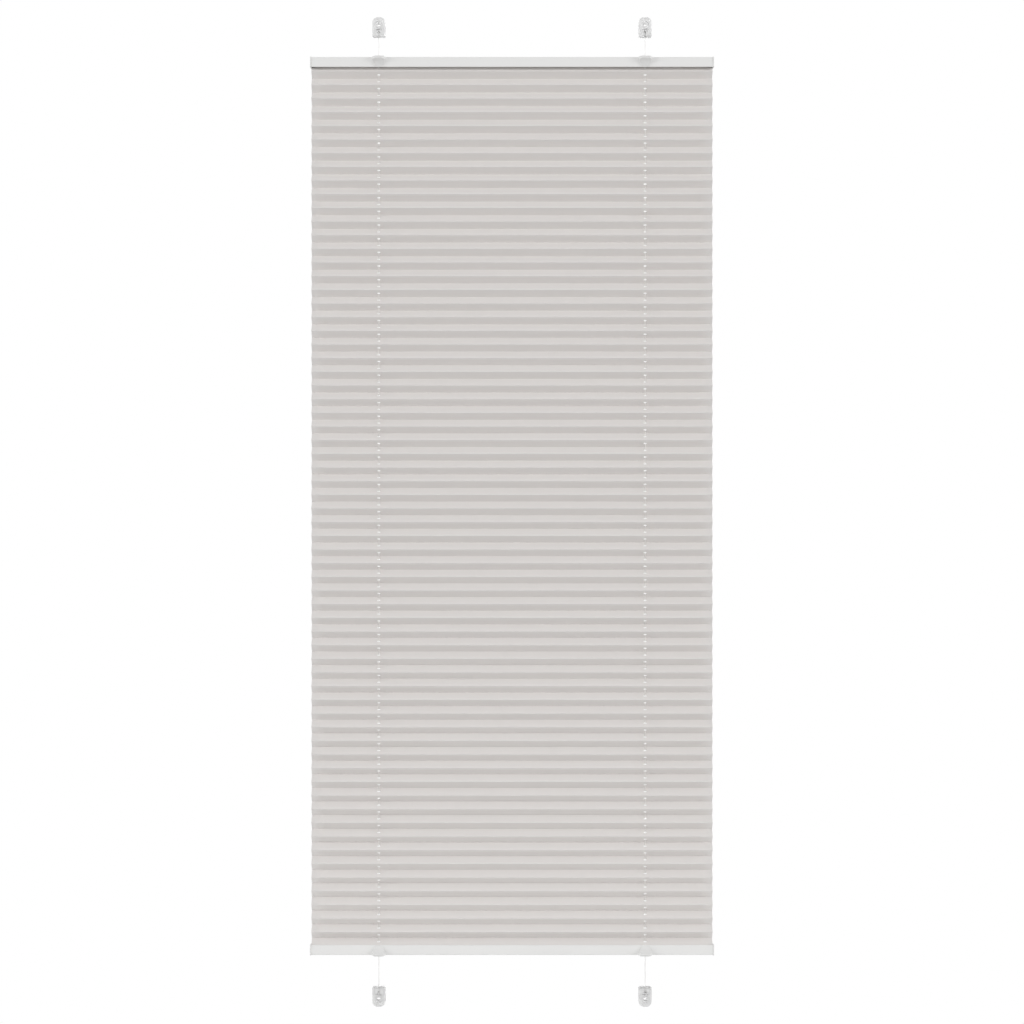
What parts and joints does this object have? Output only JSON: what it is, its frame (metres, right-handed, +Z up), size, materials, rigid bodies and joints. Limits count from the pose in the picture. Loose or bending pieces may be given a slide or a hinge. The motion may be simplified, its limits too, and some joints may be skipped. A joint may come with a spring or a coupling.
{
  "type": "pleated blind",
  "caption": "Pleated fabric window blind whose upper and lower rails slide on two tight cords between screw-on shoes.",
  "frame": {"origin": "midway between the four shoes' screw holes, on the plane of the shoes' back faces", "axes": "+X to the right and +Z up as seen from the room, +Y back to the window frame"},
  "size_m": [0.45, 0.0265, 1.1034],
  "materials": {
    "pleated_cloth": "matte",
    "cord": "matte",
    "rail_aluminium": "satin",
    "strip_plastic": "matte",
    "cap_plastic": "satin",
    "guide_plastic": "satin",
    "grip_plastic": "satin",
    "clear_plastic": "gloss"
  },
  "bodies": {
    "anchors": {"top_left_shoe": "clear_plastic", "top_right_shoe": "clear_plastic", "bottom_left_shoe": "clear_plastic", "bottom_right_shoe": "clear_plastic", "left_cord": "cord", "right_cord": "cord", "pleated_fabric": "pleated_cloth"},
    "upper_rail": {"top_rail": "rail_aluminium", "top_fabric_strip": "strip_plastic", "top_left_end_cap": "cap_plastic", "top_left_cord_guide": "guide_plastic", "top_left_grip": "grip_plastic", "top_right_end_cap": "cap_plastic", "top_right_cord_guide": "guide_plastic", "top_right_grip": "grip_plastic"},
    "lower_rail": {"bottom_rail": "rail_aluminium", "bottom_fabric_strip": "strip_plastic", "bottom_left_end_cap": "cap_plastic", "bottom_left_cord_guide": "guide_plastic", "bottom_left_grip": "grip_plastic", "bottom_right_end_cap": "cap_plastic", "bottom_right_cord_guide": "guide_plastic", "bottom_right_grip": "grip_plastic"}
  },
  "joints": [
    {"name": "top_rail_slide", "type": "slide", "parent": "anchors", "child": "upper_rail", "axis": [0, 0, -1], "range_m": [0, 0.45], "deforming": ["pleated_fabric"]},
    {"name": "bottom_rail_slide", "type": "slide", "parent": "anchors", "child": "lower_rail", "axis": [0, 0, 1], "range_m": [0, 0.45], "deforming": ["pleated_fabric"]}
  ]
}
